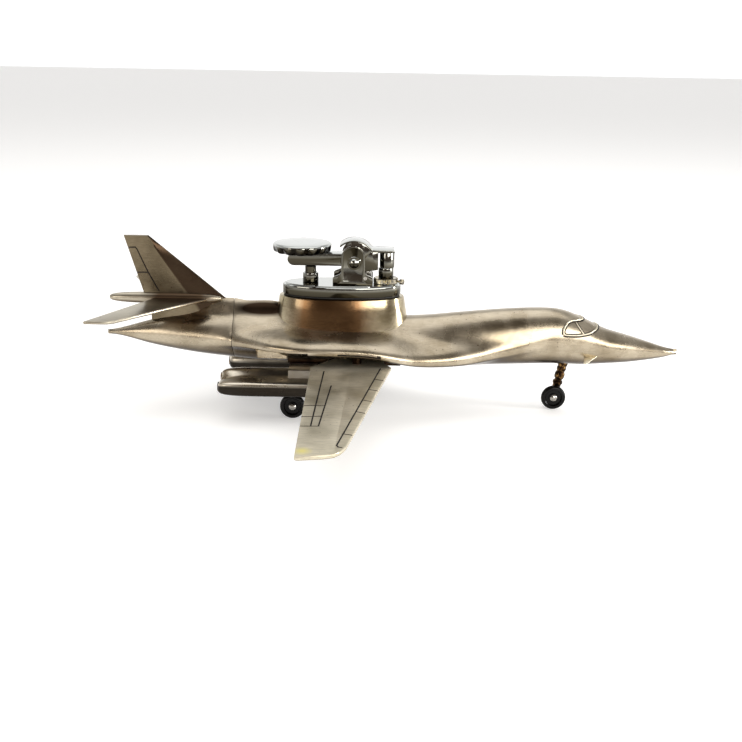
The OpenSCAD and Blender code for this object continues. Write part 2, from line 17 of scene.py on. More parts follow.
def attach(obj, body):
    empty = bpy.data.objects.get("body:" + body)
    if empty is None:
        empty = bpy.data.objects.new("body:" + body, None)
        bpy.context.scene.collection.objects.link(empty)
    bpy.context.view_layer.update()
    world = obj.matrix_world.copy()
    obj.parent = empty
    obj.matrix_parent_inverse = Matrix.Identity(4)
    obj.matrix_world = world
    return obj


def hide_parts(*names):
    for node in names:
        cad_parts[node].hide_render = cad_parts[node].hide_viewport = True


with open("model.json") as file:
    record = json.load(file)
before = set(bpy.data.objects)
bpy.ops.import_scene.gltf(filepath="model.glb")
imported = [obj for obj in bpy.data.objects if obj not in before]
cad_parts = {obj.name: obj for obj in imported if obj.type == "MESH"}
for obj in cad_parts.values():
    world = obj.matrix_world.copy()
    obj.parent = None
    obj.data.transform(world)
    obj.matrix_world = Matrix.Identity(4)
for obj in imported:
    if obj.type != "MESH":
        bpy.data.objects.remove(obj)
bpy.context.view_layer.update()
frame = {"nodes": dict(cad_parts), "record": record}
MM = 0.001

# %% [markdown]
# Selecting is what hand modelling does most, and an operator acts on all that is selected.  These few
# helpers start from nothing selected, pick parts of a mesh by their place, and lay new points.

# %% Selecting and placing
def nothing_selected():
    if bpy.context.object and bpy.context.object.mode != "OBJECT":
        bpy.ops.object.mode_set(mode="OBJECT")
    bpy.ops.object.select_all(action="DESELECT")


def open_mesh(piece):
    nothing_selected()
    piece.select_set(True)
    bpy.context.view_layer.objects.active = piece
    bpy.ops.object.mode_set(mode="EDIT")
    bpy.ops.mesh.select_all(action="DESELECT")


def close_mesh():
    bpy.ops.object.mode_set(mode="OBJECT")


def pick(piece, kind, test):
    """Selects the verts, edges or faces of a mesh in edit mode whose test is true, and nothing else."""
    bpy.ops.mesh.select_all(action="DESELECT")
    bpy.ops.mesh.select_mode(type={"verts": "VERT", "edges": "EDGE", "faces": "FACE"}[kind])
    mesh = bmesh.from_edit_mesh(piece.data)
    for item in getattr(mesh, kind):
        if test(item):
            item.select_set(True)
    mesh.select_flush_mode()
    bmesh.update_edit_mesh(piece.data)


def named(name):
    piece = bpy.context.object
    piece.name = name
    piece.data.name = name
    return piece


# %% [markdown]
# Long smooth castings are lofted: a circle of points is placed on the first section, then extruded ring
# by ring, each new ring moved onto its own section.  A number kept on every vertex says where it sits round
# the ring, so that a ring never twists.  A subdivided box would need far more points for the same curves.

# %% Lofting by extruding rings
def lay_ring(piece, points):
    mesh = bmesh.from_edit_mesh(piece.data)
    turn = mesh.verts.layers.int["turn"]
    for vert in mesh.verts:
        if vert.select:
            vert.co = Vector(points[vert[turn]]) * MM
    bmesh.update_edit_mesh(piece.data)


def ring_of(name, points):
    nothing_selected()
    bpy.ops.mesh.primitive_circle_add(vertices=len(points), radius=MM)
    piece = named(name)
    open_mesh(piece)
    mesh = bmesh.from_edit_mesh(piece.data)
    turn = mesh.verts.layers.int.new("turn")
    for number, vert in enumerate(mesh.verts):
        vert[turn] = number
    bpy.ops.mesh.select_all(action="SELECT")
    lay_ring(piece, points)
    return piece


def tidy_mesh(piece):
    """Merges doubled points, turns every face outwards and leaves edit mode."""
    bpy.ops.mesh.select_all(action="SELECT")
    bpy.ops.mesh.remove_doubles(threshold=0.004 * MM)
    bpy.ops.mesh.normals_make_consistent(inside=False)
    close_mesh()
    return piece


def lofted(name, rings, closed=False):
    """A skin through rings of points.  Its two ends are filled, or joined to each other when it is closed."""
    piece = ring_of(name, rings[0])
    if not closed:
        bpy.ops.mesh.edge_face_add()
        bpy.ops.mesh.select_mode(type="EDGE")
    for points in rings[1:] + (rings[:1] if closed else []):
        bpy.ops.mesh.extrude_edges_indiv()
        lay_ring(piece, points)
    if not closed:
        bpy.ops.mesh.edge_face_add()
    return tidy_mesh(piece)


# %% [markdown]
# Flat parts are cut as plates: a ring of points is laid on the outline, filled, and extruded to its
# thickness.  Round parts are turned: the outline of half a section is spun about its axis.

# %% Plates and turned parts
def plate(name, outline, low, high):
    piece = ring_of(name, [(x, y, low) for x, y in outline])
    bpy.ops.mesh.edge_face_add()
    bpy.ops.mesh.extrude_region_move(TRANSFORM_OT_translate={"value": (0, 0, (high - low) * MM)})
    return tidy_mesh(piece)


def upright(name, outline, near, far):
    """A plate standing in the XZ plane, between two distances from the centre plane."""
    piece = ring_of(name, [(x, near, z) for x, z in outline])
    bpy.ops.mesh.edge_face_add()
    bpy.ops.mesh.extrude_region_move(TRANSFORM_OT_translate={"value": (0, (far - near) * MM, 0)})
    return tidy_mesh(piece)


def arc(x, y, radius, first, last, steps):
    """Points on part of a circle, from one angle in degrees to another."""
    turns = [math.radians(first + (last - first) * i / steps) for i in range(steps + 1)]
    return [(x + radius * math.cos(t), y + radius * math.sin(t)) for t in turns]


def turned(name, profile, place, axis, steps=64):
    """Spins (radius, height) points about an axis through place.  Points at radius 0 close the ends."""
    axis = Vector(axis).normalized()
    side = axis.orthogonal().normalized()
    points = [Vector(place) + side * r + axis * h for r, h in profile]
    piece = ring_of(name, points)
    touching = [i for i, (r, h) in enumerate(profile) if r == 0]
    if len(touching) == 2:
        ends = [points[i] for i in touching]
        pick(piece, "edges", lambda e: all(min((v.co / MM - p).length for p in ends) < 1e-4 for v in e.verts))
        bpy.ops.mesh.delete(type="EDGE")
    bpy.ops.mesh.select_all(action="SELECT")
    bpy.ops.mesh.spin(steps=steps, angle=2 * math.pi, center=Vector(place) * MM, axis=axis)
    return tidy_mesh(piece)


# %% [markdown]
# Cutting, rounding and finishing.  A real casting or stamping has no knife-sharp edge: a small bevel
# gives each edge the thin highlight that the eye reads as metal.  Cuts are booleans with a plain cutter.

# %% Modifiers that are applied at once
def with_modifier(piece, kind, **settings):
    nothing_selected()
    piece.select_set(True)
    bpy.context.view_layer.objects.active = piece
    modifier = piece.modifiers.new(kind.lower(), kind)
    for key, value in settings.items():
        setattr(modifier, key, value)
    bpy.ops.object.modifier_apply(modifier=modifier.name)
    return piece


def cut(piece, cutter, operation="DIFFERENCE", crossing=False):
    """crossing is for a cutter whose own pieces cross each other."""
    with_modifier(piece, "BOOLEAN", object=cutter, operation=operation, solver="EXACT", use_self=crossing)
    bpy.data.objects.remove(cutter)
    return piece


def round_edges(piece, width, segments=2, angle=35):
    return with_modifier(piece, "BEVEL", width=width * MM, segments=segments, limit_method="ANGLE",
                         angle_limit=math.radians(angle), harden_normals=False, miter_outer="MITER_ARC")


def joined(pieces, name):
    nothing_selected()
    for piece in pieces:
        piece.select_set(True)
    bpy.context.view_layer.objects.active = pieces[0]
    if len(pieces) > 1:
        bpy.ops.object.join()
    return named(name)


def mirrored(piece, name):
    """A copy of a piece on the other side of the centre plane."""
    twin = piece.copy()
    twin.data = piece.data.copy()
    twin.name = name
    twin.data.name = name
    bpy.context.collection.objects.link(twin)
    twin.data.transform(Matrix.Scale(-1, 4, (0, 1, 0)))
    open_mesh(twin)
    return tidy_mesh(twin)


def block(low, high):
    """A plain box, used only as a cutter or as a start."""
    nothing_selected()
    centre = [(a + b) / 2 * MM for a, b in zip(low, high)]
    size = [(b - a) * MM for a, b in zip(low, high)]
    bpy.ops.mesh.primitive_cube_add(size=1, location=centre, scale=size)
    bpy.ops.object.transform_apply(location=True, rotation=True, scale=True)
    return bpy.context.object


def score_lines(lines, width, low, high):
    """Thin bars standing on lines in the XY plane, joined as one cutter for engraving."""
    bars = []
    for (x0, y0), (x1, y1) in lines:
        length = math.hypot(x1 - x0, y1 - y0)
        bar = block((-width / 2, -width / 2, low), (length + width / 2, width / 2, high))
        turn = Matrix.Rotation(math.atan2(y1 - y0, x1 - x0), 4, "Z")
        bar.data.transform(Matrix.Translation(Vector((x0, y0, 0)) * MM) @ turn)
        bars.append(bar)
    return joined(bars, "score_lines")


# %% [markdown]
# Finishes.  Colours are written as sRGB hex values and turned to linear by one function, and one small
# function adds a node, sets it and links it.

# %% Colour and node helpers
def linear(code):
    parts = [int(code[i:i + 2], 16) / 255 for i in (1, 3, 5)]
    return tuple(c / 12.92 if c <= 0.04045 else ((c + 0.055) / 1.055) ** 2.4 for c in parts) + (1.0,)


def new_finish(name, **sockets):
    finish = bpy.data.materials.new(name)
    finish.use_nodes = True
    shader = finish.node_tree.nodes["Principled BSDF"]
    for key, value in sockets.items():
        shader.inputs[key.replace("_", " ")].default_value = value
    return finish, finish.node_tree, shader


def add_node(tree, kind, links=None, values=None, **settings):
    item = tree.nodes.new("ShaderNode" + kind)
    for key, value in settings.items():
        setattr(item, key, value)
    for key, value in (values or {}).items():
        item.inputs[key].default_value = value
    for key, source in (links or {}).items():
        tree.links.new(source, item.inputs[key])
    return item


def ramp(tree, source, stops, mode="LINEAR"):
    item = add_node(tree, "ValToRGB", {"Fac": source})
    item.color_ramp.interpolation = mode
    for number, (position, colour) in enumerate(stops):
        stop = item.color_ramp.elements[number] if number < 2 else item.color_ramp.elements.new(position)
        stop.position = position
        stop.color = colour
    return item.outputs["Color"]


def grey(value):
    return (value, value, value, 1.0)


# %% [markdown]
# Antiqued nickel is nickel plate over cast zinc, stained brown, then brushed back with a wheel so that the
# stain stays in hollows.  The eye gets soft long highlights broken by fine brush lines,
# cloudy brown patches and a few pits.  The lines are about 0.3 mm apart; real ones are finer, and are
# drawn this coarse so that they show.  Downward faces, forward faces where asked, and a few given patches
# are darkened toward the same brown as painted shade.

# %% Antiqued nickel
def shade_patch(tree, place, centre, reach):
    """1 at a place and 0 beyond reach from it: an ellipsoid of painted shade, where a dark reflection is painted on.
    """
    moved = add_node(tree, "VectorMath", {0: place}, {1: Vector(centre) * MM}, operation="SUBTRACT")
    scaled = add_node(tree, "VectorMath", {0: moved.outputs["Vector"]},
                      {1: [1 / (r * MM) for r in reach]}, operation="MULTIPLY")
    far = add_node(tree, "VectorMath", {0: scaled.outputs["Vector"]}, operation="LENGTH").outputs["Value"]
    return add_node(tree, "MapRange", {"Value": far}, {1: 1.0, 2: 0.55, 3: 0.0, 4: 1.0}).outputs["Result"]


def larger(tree, first, second):
    return add_node(tree, "Math", {0: first, 1: second}, operation="MAXIMUM").outputs[0]


def brushed_metal(name, light, mid, shade_and_stain, rough, brush, shade_below, shade_forward=None, shades=(), speck=None):
    """Brushed plate.  brush is how many lines to a metre along each axis.  The two shade settings give the upward
    and forward slopes between which painted shade sets in, and how strong it gets; pits take the same dark colour."""
    finish, tree, shader = new_finish(name, Metallic=1.0)
    place = add_node(tree, "TexCoord").outputs["Object"]
    lines_place = add_node(tree, "Mapping", {"Vector": place}, {"Scale": brush}).outputs["Vector"]
    lines = add_node(tree, "TexNoise", {"Vector": lines_place}, {"Scale": 1.0, "Detail": 3.0, "Roughness": 0.6})
    clouds = add_node(tree, "TexNoise", {"Vector": place}, {"Scale": 55.0, "Detail": 4.0, "Roughness": 0.55})
    pits = add_node(tree, "TexNoise", {"Vector": place}, {"Scale": 900.0, "Detail": 2.0})
    pitted = ramp(tree, pits.outputs["Fac"], [(0.7, grey(0)), (0.78, grey(1))])
    cloud_tone = ramp(tree, clouds.outputs["Fac"], [(0.36, linear(mid)), (0.62, linear(light))])
    line_tone = ramp(tree, lines.outputs["Fac"], [(0.35, grey(0.8)), (0.65, grey(1.0))])
    brushed = add_node(tree, "Mix", {6: cloud_tone, 7: line_tone}, {0: 1.0}, data_type="RGBA",
                       blend_type="MULTIPLY").outputs[2]
    # Painted shade: downward faces, and forward faces where a forward setting is given, blend into the dark colour;
    # the pits are real.
    facing = add_node(tree, "SeparateXYZ", {"Vector": add_node(tree, "NewGeometry").outputs["Normal"]})
    low, high, depth = shade_below
    stain_and_shade = add_node(tree, "MapRange", {"Value": facing.outputs["Z"]},
                       {1: high, 2: low, 3: 0.0, 4: depth}).outputs["Result"]
    stain_and_shade = larger(tree, stain_and_shade, pitted)
    if shade_forward:
        low, high, depth = shade_forward
        forward = add_node(tree, "MapRange", {"Value": facing.outputs["X"]}, {1: low, 2: high, 3: 0.0, 4: depth})
        stain_and_shade = larger(tree, stain_and_shade, forward.outputs["Result"])
    # Painted shade in each given patch.
    for centre, reach in shades:
        stain_and_shade = larger(tree, stain_and_shade, shade_patch(tree, place, centre, reach))
    colour = add_node(tree, "Mix", {0: stain_and_shade, 6: brushed}, {7: linear(shade_and_stain)}, data_type="RGBA").outputs[2]
    if speck:
        gap = add_node(tree, "VectorMath", {0: place}, {1: Vector(speck[0]) * MM}, operation="DISTANCE")
        worn = ramp(tree, gap.outputs["Value"], [(0.0003, grey(1)), (0.0008, grey(0))])
        colour = add_node(tree, "Mix", {0: worn, 6: colour}, {7: linear(speck[1])}, data_type="RGBA").outputs[2]
    tree.links.new(colour, shader.inputs["Base Color"])
    dull = add_node(tree, "MapRange", {"Value": clouds.outputs["Fac"]}, {1: 0.3, 2: 0.7, 3: rough[0], 4: rough[1]})
    tree.links.new(dull.outputs["Result"], shader.inputs["Roughness"])
    height = add_node(tree, "Bump", {"Height": lines.outputs["Fac"]}, {"Strength": 0.14, "Distance": 0.00006})
    dents = add_node(tree, "Bump", {"Height": clouds.outputs["Fac"], "Normal": height.outputs["Normal"]},
                     {"Strength": 0.3, "Distance": 0.0006})
    tree.links.new(dents.outputs["Normal"], shader.inputs["Normal"])
    return finish


# The two patches paint shade on the spine ahead of the fin.
antique_nickel = brushed_metal("antique_nickel_brushed", "#BFB39E", "#978A74", "#33271D", (0.2, 0.34),
                               (160, 3400, 3400), (-0.75, -0.4, 0.9),
                               shades=[((-58, -3, 46.5), (17, 5, 4.5)), ((-58, 3, 46.5), (17, 5, 4.5))])
# The two patches paint a dark reflection across the middle of the collar, as painted shade.
collar_nickel = brushed_metal("antique_nickel_turned", "#C4B89E", "#A39678", "#6B5137", (0.13, 0.22),
                              (500, 500, 3000), (-0.6, -0.3, 0.5),
                              shades=[((-28, -14, 44), (23, 14, 60)), ((-28, 14, 44), (23, 14, 60))])
# The pods' sides and undersides are painted almost black as painted shade; their tops stay pale.
duct_nickel = brushed_metal("antique_nickel_painted_shade", "#F0E8D8", "#D2C8B5", "#120B06", (0.24, 0.38),
                            (160, 3400, 3400), (0.05, 0.4, 0.97))
# The fin is a darker copy of the body's plate, as painted shade for its upright faces, and its forward faces are
# painted darker still.
fin_shaded_nickel = brushed_metal("antique_nickel_fin_painted_shade", "#80745F", "#625745", "#2C1D14", (0.22, 0.36),
                           (400, 3000, 2400), (-0.9, -0.5, 0.5), (0.02, 0.05, 0.85))

# %% [markdown]
# The wings are the same plate, brushed along the chord and hardly stained, so they look paler and duller.
# One worn speck near a tip shows the yellow metal under the plate.  The engraved lines are full of old stain.

# %% Wing plate and stained grooves
wing_nickel = brushed_metal("satin_nickel_wing", "#E2D9C4", "#CCC3AB", "#4A3A2B", (0.36, 0.48),
                            (300, 2600, 2600), (-0.6, -0.2, 0.8), speck=((-32.3, -121, 27.9), "#E8DC8A"))
# The tailplane is a paler copy of the plate, as a painted highlight, with painted shade at its root for the fin
# reflected there.
tailplane_painted_light_nickel = brushed_metal("satin_nickel_tailplane_painted_light", "#C6BEAC", "#ABA290", "#5A4A3A", (0.26, 0.38),
                            (300, 2600, 2600), (-0.6, -0.2, 0.8), shades=[((-96, 0, 50), (19, 17, 8))])
# This dark finish is real stain in the engraved lines, and painted shade on the roofs and walls of the wing slots and
# round the foot of each window frame.
stain_and_painted_shade = new_finish("groove_stain_and_painted_shade", Metallic=0.4, Roughness=0.6, Base_Color=linear("#1C130D"))[0]

# %% [markdown]
# Chrome plate over polished steel and brass: nearly a mirror, with faint smears that only the gloss shows.
# Its colour is a painted reflection: upright faces are painted dark and warm for the dim room they see, tops pale.

# %% Chrome
def chrome_plate():
    finish, tree, shader = new_finish("chrome_plate_polished", Metallic=1.0)
    place = add_node(tree, "TexCoord").outputs["Object"]
    facing = add_node(tree, "SeparateXYZ", {"Vector": add_node(tree, "NewGeometry").outputs["Normal"]})
    upward = add_node(tree, "MapRange", {"Value": facing.outputs["Z"]}, {1: -1.0, 2: 1.0})
    # Painted reflection: dark and warm on upright faces, pale on tops.
    tone = ramp(tree, upward.outputs["Result"],
                [(0.3, linear("#1C1A16")), (0.5, linear("#454136")), (0.64, linear("#9C9C96")),
                 (0.8, linear("#BDBFBB"))])
    tree.links.new(tone, shader.inputs["Base Color"])
    smears = add_node(tree, "TexNoise", {"Vector": place}, {"Scale": 140.0, "Detail": 5.0, "Distortion": 0.6})
    gloss = add_node(tree, "MapRange", {"Value": smears.outputs["Fac"]}, {1: 0.35, 2: 0.75, 3: 0.04, 4: 0.16})
    tree.links.new(gloss.outputs["Result"], shader.inputs["Roughness"])
    dents = add_node(tree, "Bump", {"Height": smears.outputs["Fac"]}, {"Strength": 0.06, "Distance": 0.0003})
    tree.links.new(dents.outputs["Normal"], shader.inputs["Normal"])
    return finish


chrome = chrome_plate()

# %% [markdown]
# The undercarriage is bronze-plated, with dark toning in the grooves and bright rubbed high spots.  The
# wheels are black lacquer over metal.  The small inner parts are plain steel and worn gilt brass, with a plain
# black ring under the deck.  The belly plate and the wing pins are near black, as painted shadow.

# %% Toned bronze, lacquer, steel, brass and rubber
def mottled(name, tones, metal, rough, size_mm, bump_mm, coat=0.0, mirror=0.5):
    """A finish of cloudy tones: size_mm is the size of the clouds, bump_mm how deep the surface is."""
    finish, tree, shader = new_finish(name, Metallic=metal, Coat_Weight=coat, Coat_Roughness=0.05,
                                      Specular_IOR_Level=mirror)
    place = add_node(tree, "TexCoord").outputs["Object"]
    clouds = add_node(tree, "TexNoise", {"Vector": place},
                      {"Scale": 1 / (size_mm * MM), "Detail": 5.0, "Roughness": 0.6})
    stops = [(0.35 + 0.3 * i / (len(tones) - 1), linear(tone)) for i, tone in enumerate(tones)]
    tree.links.new(ramp(tree, clouds.outputs["Fac"], stops), shader.inputs["Base Color"])
    gloss = add_node(tree, "MapRange", {"Value": clouds.outputs["Fac"]}, {1: 0.3, 2: 0.7, 3: rough[1], 4: rough[0]})
    tree.links.new(gloss.outputs["Result"], shader.inputs["Roughness"])
    dents = add_node(tree, "Bump", {"Height": clouds.outputs["Fac"]}, {"Strength": 0.4, "Distance": bump_mm * MM})
    tree.links.new(dents.outputs["Normal"], shader.inputs["Normal"])
    return finish


toned_bronze = mottled("toned_bronze", ["#120C08", "#2E1F14", "#9A7746"], 1.0, (0.22, 0.4), 1.6, 0.08)
black_lacquer = mottled("black_lacquer", ["#030202", "#080706"], 0.0, (0.16, 0.3), 3.0, 0.03, 0.04, 0.15)
bright_steel = mottled("turned_steel", ["#8E8A84", "#B9B5AE"], 1.0, (0.16, 0.3), 1.5, 0.02)
knurled_steel = mottled("knurled_nickel", ["#77736A", "#A8A294", "#C2B48C"], 1.0, (0.16, 0.3), 1.5, 0.02)
# Painted shadow: near-black nickel for the parts that sit in shade under the body and in the wing slots.
shadow_nickel = mottled("nickel_painted_shadow", ["#0F0B08", "#241A12", "#3A2C20"], 1.0, (0.35, 0.5), 3.0, 0.05)
gilt_brass = mottled("worn_gilt_brass", ["#7C6A45", "#B09A62", "#C9B27A"], 1.0, (0.18, 0.34), 2.5, 0.03)
# A plain black finish for the ring between the deck and the collar.
black_ring_finish = mottled("black_ring", ["#0B0B0B", "#161514"], 0.0, (0.55, 0.75), 1.0, 0.03)
flint_alloy = mottled("flint_alloy", ["#4A4642", "#6A645D"], 0.7, (0.5, 0.7), 0.6, 0.05)
print("finishes:", sorted(m.name for m in bpy.data.materials if m.node_tree)[:20])


# %% Hand a finished piece to the frame
def done(piece, body, slot, finish, *nodes, smooth=32, groove_and_shade=None):
    """The test, when given, is true for the corners and the normal of a face that takes the dark finish: a face in an
    engraved line, which holds real patina, and a face painted with shade.
    """
    piece.data.materials.clear()
    piece.data.materials.append(finish)
    if groove_and_shade:
        piece.data.materials.append(stain_and_painted_shade)
        for face in piece.data.polygons:
            corners = [piece.data.vertices[i].co / MM for i in face.vertices]
            face.material_index = int(groove_and_shade(corners, face.normal))
    if "turn" in piece.data.attributes:
        piece.data.attributes.remove(piece.data.attributes["turn"])
    nothing_selected()
    piece.select_set(True)
    bpy.context.view_layer.objects.active = piece
    bpy.ops.object.shade_smooth_by_angle(angle=math.radians(smooth))
    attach(piece, body)
    if nodes:
        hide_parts(*nodes)
    piece.data.calc_loop_triangles()
    low = [round(min(v.co[i] for v in piece.data.vertices) / MM, 1) for i in range(3)]
    high = [round(max(v.co[i] for v in piece.data.vertices) / MM, 1) for i in range(3)]
    print(f"{piece.name}: {len(piece.data.loop_triangles)} triangles, {low} to {high} mm")
    return piece


# %% [markdown]
# The body casting.  Its sections follow three tables: the body's own oval, the glove that carries the wing
# pivots, and the spine ahead of the fin.  At each direction round a section the three radii are blended by
# a high power, which is how a pattern maker's fillet looks: the largest rules, and the joins are soft.

# %% Section of the body
# place, underside, top, half-width, height of the widest line
BODY = [(-129.4, 33.5, 34.1, 0.3, 33.8), (-121, 31.9, 36.4, 2.7, 33.9), (-111, 29.2, 39.2, 4.8, 33.6),
        (-102, 27.4, 41, 6.6, 33.4), (-88, 25.2, 42.2, 8.7, 33.2), (-75, 23.8, 43.2, 10, 33.2),
        (-62, 22.6, 44, 10.8, 33.6), (-40, 22, 43.6, 11.2, 33.6), (-10, 22, 43, 11.6, 32.6),
        (12, 22.2, 43.6, 12.2, 28.2), (31, 22.1, 45.6, 12, 27.6), (50, 22.4, 47.5, 11.2, 30.6),
        (68, 22.7, 48.3, 10.5, 34.6), (77, 22.8, 47.3, 10.3, 34.6), (86, 22.6, 43.8, 9.9, 33.4),
        (96, 23.2, 39.2, 8.8, 31.6), (105, 23.8, 36.6, 7.3, 30.6), (114, 24.9, 33.9, 5.4, 29.6),
        (123, 26.4, 31, 3.1, 28.8), (129.4, 28.1, 28.9, 0.4, 28.5)]
# place, share of the glove's full half-width, height above and below the widest line
GLOVE = [(-129.4, 0, 1, 1), (-78, 0.3, 3.4, 2.6), (-66, 0.56, 4.8, 3), (-54, 0.84, 5.8, 3.2), (-38, 1, 6.5, 3.4),
         (-10, 1, 6.5, 3.4), (-2, 0.99, 6.9, 3.2), (6, 0.93, 7.2, 3), (14, 0.82, 7.3, 3), (32, 0.58, 6.6, 3),
         (52, 0.36, 4.4, 2.4), (129.4, 0, 1, 1)]
# place, top, half-width
SPINE = [(-129.4, 33, 0.3), (-100, 40, 0.8), (-88, 45, 1.6), (-78, 49.6, 2.8), (-71.5, 49.8, 3.8),
         (-66, 48.7, 4.2), (-52, 48.3, 4.2), (-42, 43, 3.6), (-30, 36, 2), (129.4, 30, 0.3)]
GLOVE_HALF = 28
LOBE_BLEND = 4


def at(table, x, column):
    """Value of a column at x, on a smooth curve through the stations."""
    last = len(table) - 1
    i = max(k for k in range(last) if k == 0 or table[k][0] <= x)

    def slope(k):
        a, b = table[max(k - 1, 0)], table[min(k + 1, last)]
        return (b[column] - a[column]) / (b[0] - a[0])

    h = table[i + 1][0] - table[i][0]
    u = (x - table[i][0]) / h
    return ((2 * u ** 3 - 3 * u * u + 1) * table[i][column] + (u ** 3 - 2 * u * u + u) * h * slope(i)
            + (3 * u * u - 2 * u ** 3) * table[i + 1][column] + (u ** 3 - u * u) * h * slope(i + 1))


def oval_radius(turn, shade_forward, tall, power):
    return ((abs(math.cos(turn)) / shade_forward) ** power + (abs(math.sin(turn)) / tall) ** power) ** (-1 / power)


def skin_point(x, turn, lift=0.0):
    """Point of the skin at x in the direction turn, lifted off it by lift."""
    line = at(BODY, x, 4)
    up = math.sin(turn) > 0
    tall = max(at(BODY, x, 2) - line if up else line - at(BODY, x, 1), 0.2)
    lobes = [oval_radius(turn, max(at(BODY, x, 3), 0.2), tall, 2.1),
             oval_radius(turn, max(at(GLOVE, x, 1) * GLOVE_HALF, 0.2), max(at(GLOVE, x, 2 if up else 3), 0.2),
                         2.2 if up else 3)]
    if up:
        lobes.append(oval_radius(turn, max(at(SPINE, x, 2), 0.2), max(at(SPINE, x, 1) - line, 0.2), 2))
    r = sum(lobe ** LOBE_BLEND for lobe in lobes) ** (1 / LOBE_BLEND) + lift
    return (x, r * math.cos(turn), line + r * math.sin(turn))


def skin_rings(x0, x1, step, sides):
    """Sections between two places.  The points crowd together at the glove's tight edge."""
    count = math.ceil((x1 - x0) / step)
    rings = []
    for i in range(count + 1):
        x = x0 + (x1 - x0) * i / count
        turns = [2 * math.pi * j / sides for j in range(sides)]
        rings.append([skin_point(x, t - 0.32 * math.sin(2 * t)) for t in turns])
    return rings


SEAM_X = -71.5
body_rings = skin_rings(SEAM_X + 0.12, 129.4, 1.7, 84)
print("body sections:", len(body_rings))

# %% [markdown]
# The slot in each glove lets the wing swing.  It is milled flat, so it is cut with boxes after the loft, and
# the oval socket for the lighter's tank is cut from above.  The cut edges then get a small bevel.

# %% Body casting
DECK_X = -23.4


def oval_points(length, width, z, sides=96):
    turns = [2 * math.pi * j / sides for j in range(sides)]
    radii = [oval_radius(t, length / 2, width / 2, 2.2) for t in turns]
    return [(DECK_X + r * math.cos(t), r * math.sin(t), z) for t, r in zip(turns, radii)]


body = lofted("centre_casting", body_rings)
cut(body, plate("socket", [(x, y) for x, y, z in oval_points(50.6, 19.4, 0)], 33.6, 70))
cut(body, block((-47.5, -40, 10), (7.5, 40, 25.2)))
slot_side = [(-61, 24.2), (4, 24.2), (4, 28.4), (-1.5, 28.9), (-8, 30.4), (-61, 30.4)]
step_side = [(-61, 29), (-36.8, 29), (-36.8, 33.3), (-61, 32.3)]
for side in (-1, 1):
    cut(body, upright("slot", slot_side, 6 * side, 40 * side), crossing=True)
    cut(body, upright("step", step_side, 11.5 * side, 40 * side), crossing=True)
round_edges(body, 0.3, 2, 50)


def in_slot(corners, normal):
    """True for the roof and the walls of the wing slots, which take the dark finish as painted shade."""
    inside = all(-61.1 < c.x < 4.1 and 5.9 < abs(c.y) and 25.1 < c.z < 33.4 for c in corners)
    return inside and (normal.z < -0.9 or abs(normal.y) > 0.99 or abs(normal.x) > 0.99)


done(body, "airframe", "antique_nickel", antique_nickel, "fuselage_shell", smooth=40, groove_and_shade=in_slot)

# %% [markdown]
# The side windows are only raised frames on the casting, and under them two small drooping vanes.  A frame
# strip is a thin loft along a route that lies on the skin; the vanes are plates pulled to a point.

# %% Window frames and nose vanes
LOW_ROUTE = [(75.4, 22), (76.5, 20.7), (79.3, 21.7), (82.2, 24.2), (84.6, 28.3), (87, 34.3), (89, 43.6),
             (90.8, 57.3), (91.6, 72), (91.8, 90)]
TOP_ROUTE = [(75.4, 22), (75.2, 29), (75.7, 37), (77.2, 49.3), (79.5, 57), (81.5, 61.7), (84.6, 74), (85, 90)]
POST_ROUTE = [(81.1, 54.7), (82.6, 42.4), (84.2, 31), (84.8, 28.6)]


def smooth_route(route, count):
    """Points on a smooth curve through the given ones."""
    table = [(k,) + tuple(p) for k, p in enumerate(route)]
    return [tuple(at(table, (len(route) - 1) * i / count, c) for c in range(1, len(route[0]) + 1))
            for i in range(count + 1)]


def strip(name, route, wide, tall, count=28):
    """A low raised strip along (place, degrees round the section) points on the body's skin."""
    path = smooth_route(route, count)
    centre = [Vector(skin_point(x, math.radians(a))) for x, a in path]
    lifted = [Vector(skin_point(x, math.radians(a), 1)) for x, a in path]
    rings = []
    for i, (c, top) in enumerate(zip(centre, lifted)):
        along = (centre[min(i + 1, count)] - centre[max(i - 1, 0)]).normalized()
        out = (top - c).normalized()
        side = along.cross(out).normalized()
        ring = [c + side * wide * math.cos(t) + out * tall * math.sin(t)
                for t in (2 * math.pi * j / 10 for j in range(10))]
        rings.append(ring)
    return lofted(name, rings)


def window_frames(name, wide, tall, finish):
    strips = [strip("strip", route, wide * share, tall * share)
              for route, share in ((LOW_ROUTE, 1), (TOP_ROUTE, 1), (POST_ROUTE, 0.8))]
    near = joined(strips, name)
    both = joined([near, mirrored(near, "other_side")], name)
    return done(both, "airframe", "antique_nickel", finish, smooth=60)


window_frames("window_frames", 0.42, 0.5, wing_nickel)
# Painted shadow: a wide, low strip in the dark finish round the foot of each frame.
window_frames("window_frame_shadows", 0.95, 0.16, stain_and_painted_shade)

vane = lofted("nose_vane", [[(94, 6.6, z), (85.8, 13, z - 3.5), (84.6, 12.4, z - 3.2), (86, 7, z - 1.2)]
                            for z in (29.8, 29.4)])
round_edges(vane, 0.15, 2)
done(joined([vane, mirrored(vane, "vane_far")], "nose_vanes"), "airframe", "antique_nickel", wing_nickel)

# %% [markdown]
# The tail is a second casting that is soldered on behind the seam.  It carries the fin, and the fin holds
# the bullet fairing with the tailplane.

# %% Tail cone
tail = lofted("tail_casting", skin_rings(-129.4, SEAM_X - 0.12, 1.7, 84))
round_edges(tail, 0.3, 2, 50)
done(tail, "airframe", "antique_nickel", antique_nickel, "tail_cone", smooth=40)


# %% [markdown]
# The fin is a thin wedge: thickest along a ridge that runs down from the tip, sharp at the leading edge.
# A grid is laid on its outline and its points moved out to the thickness there, then it is mirrored.

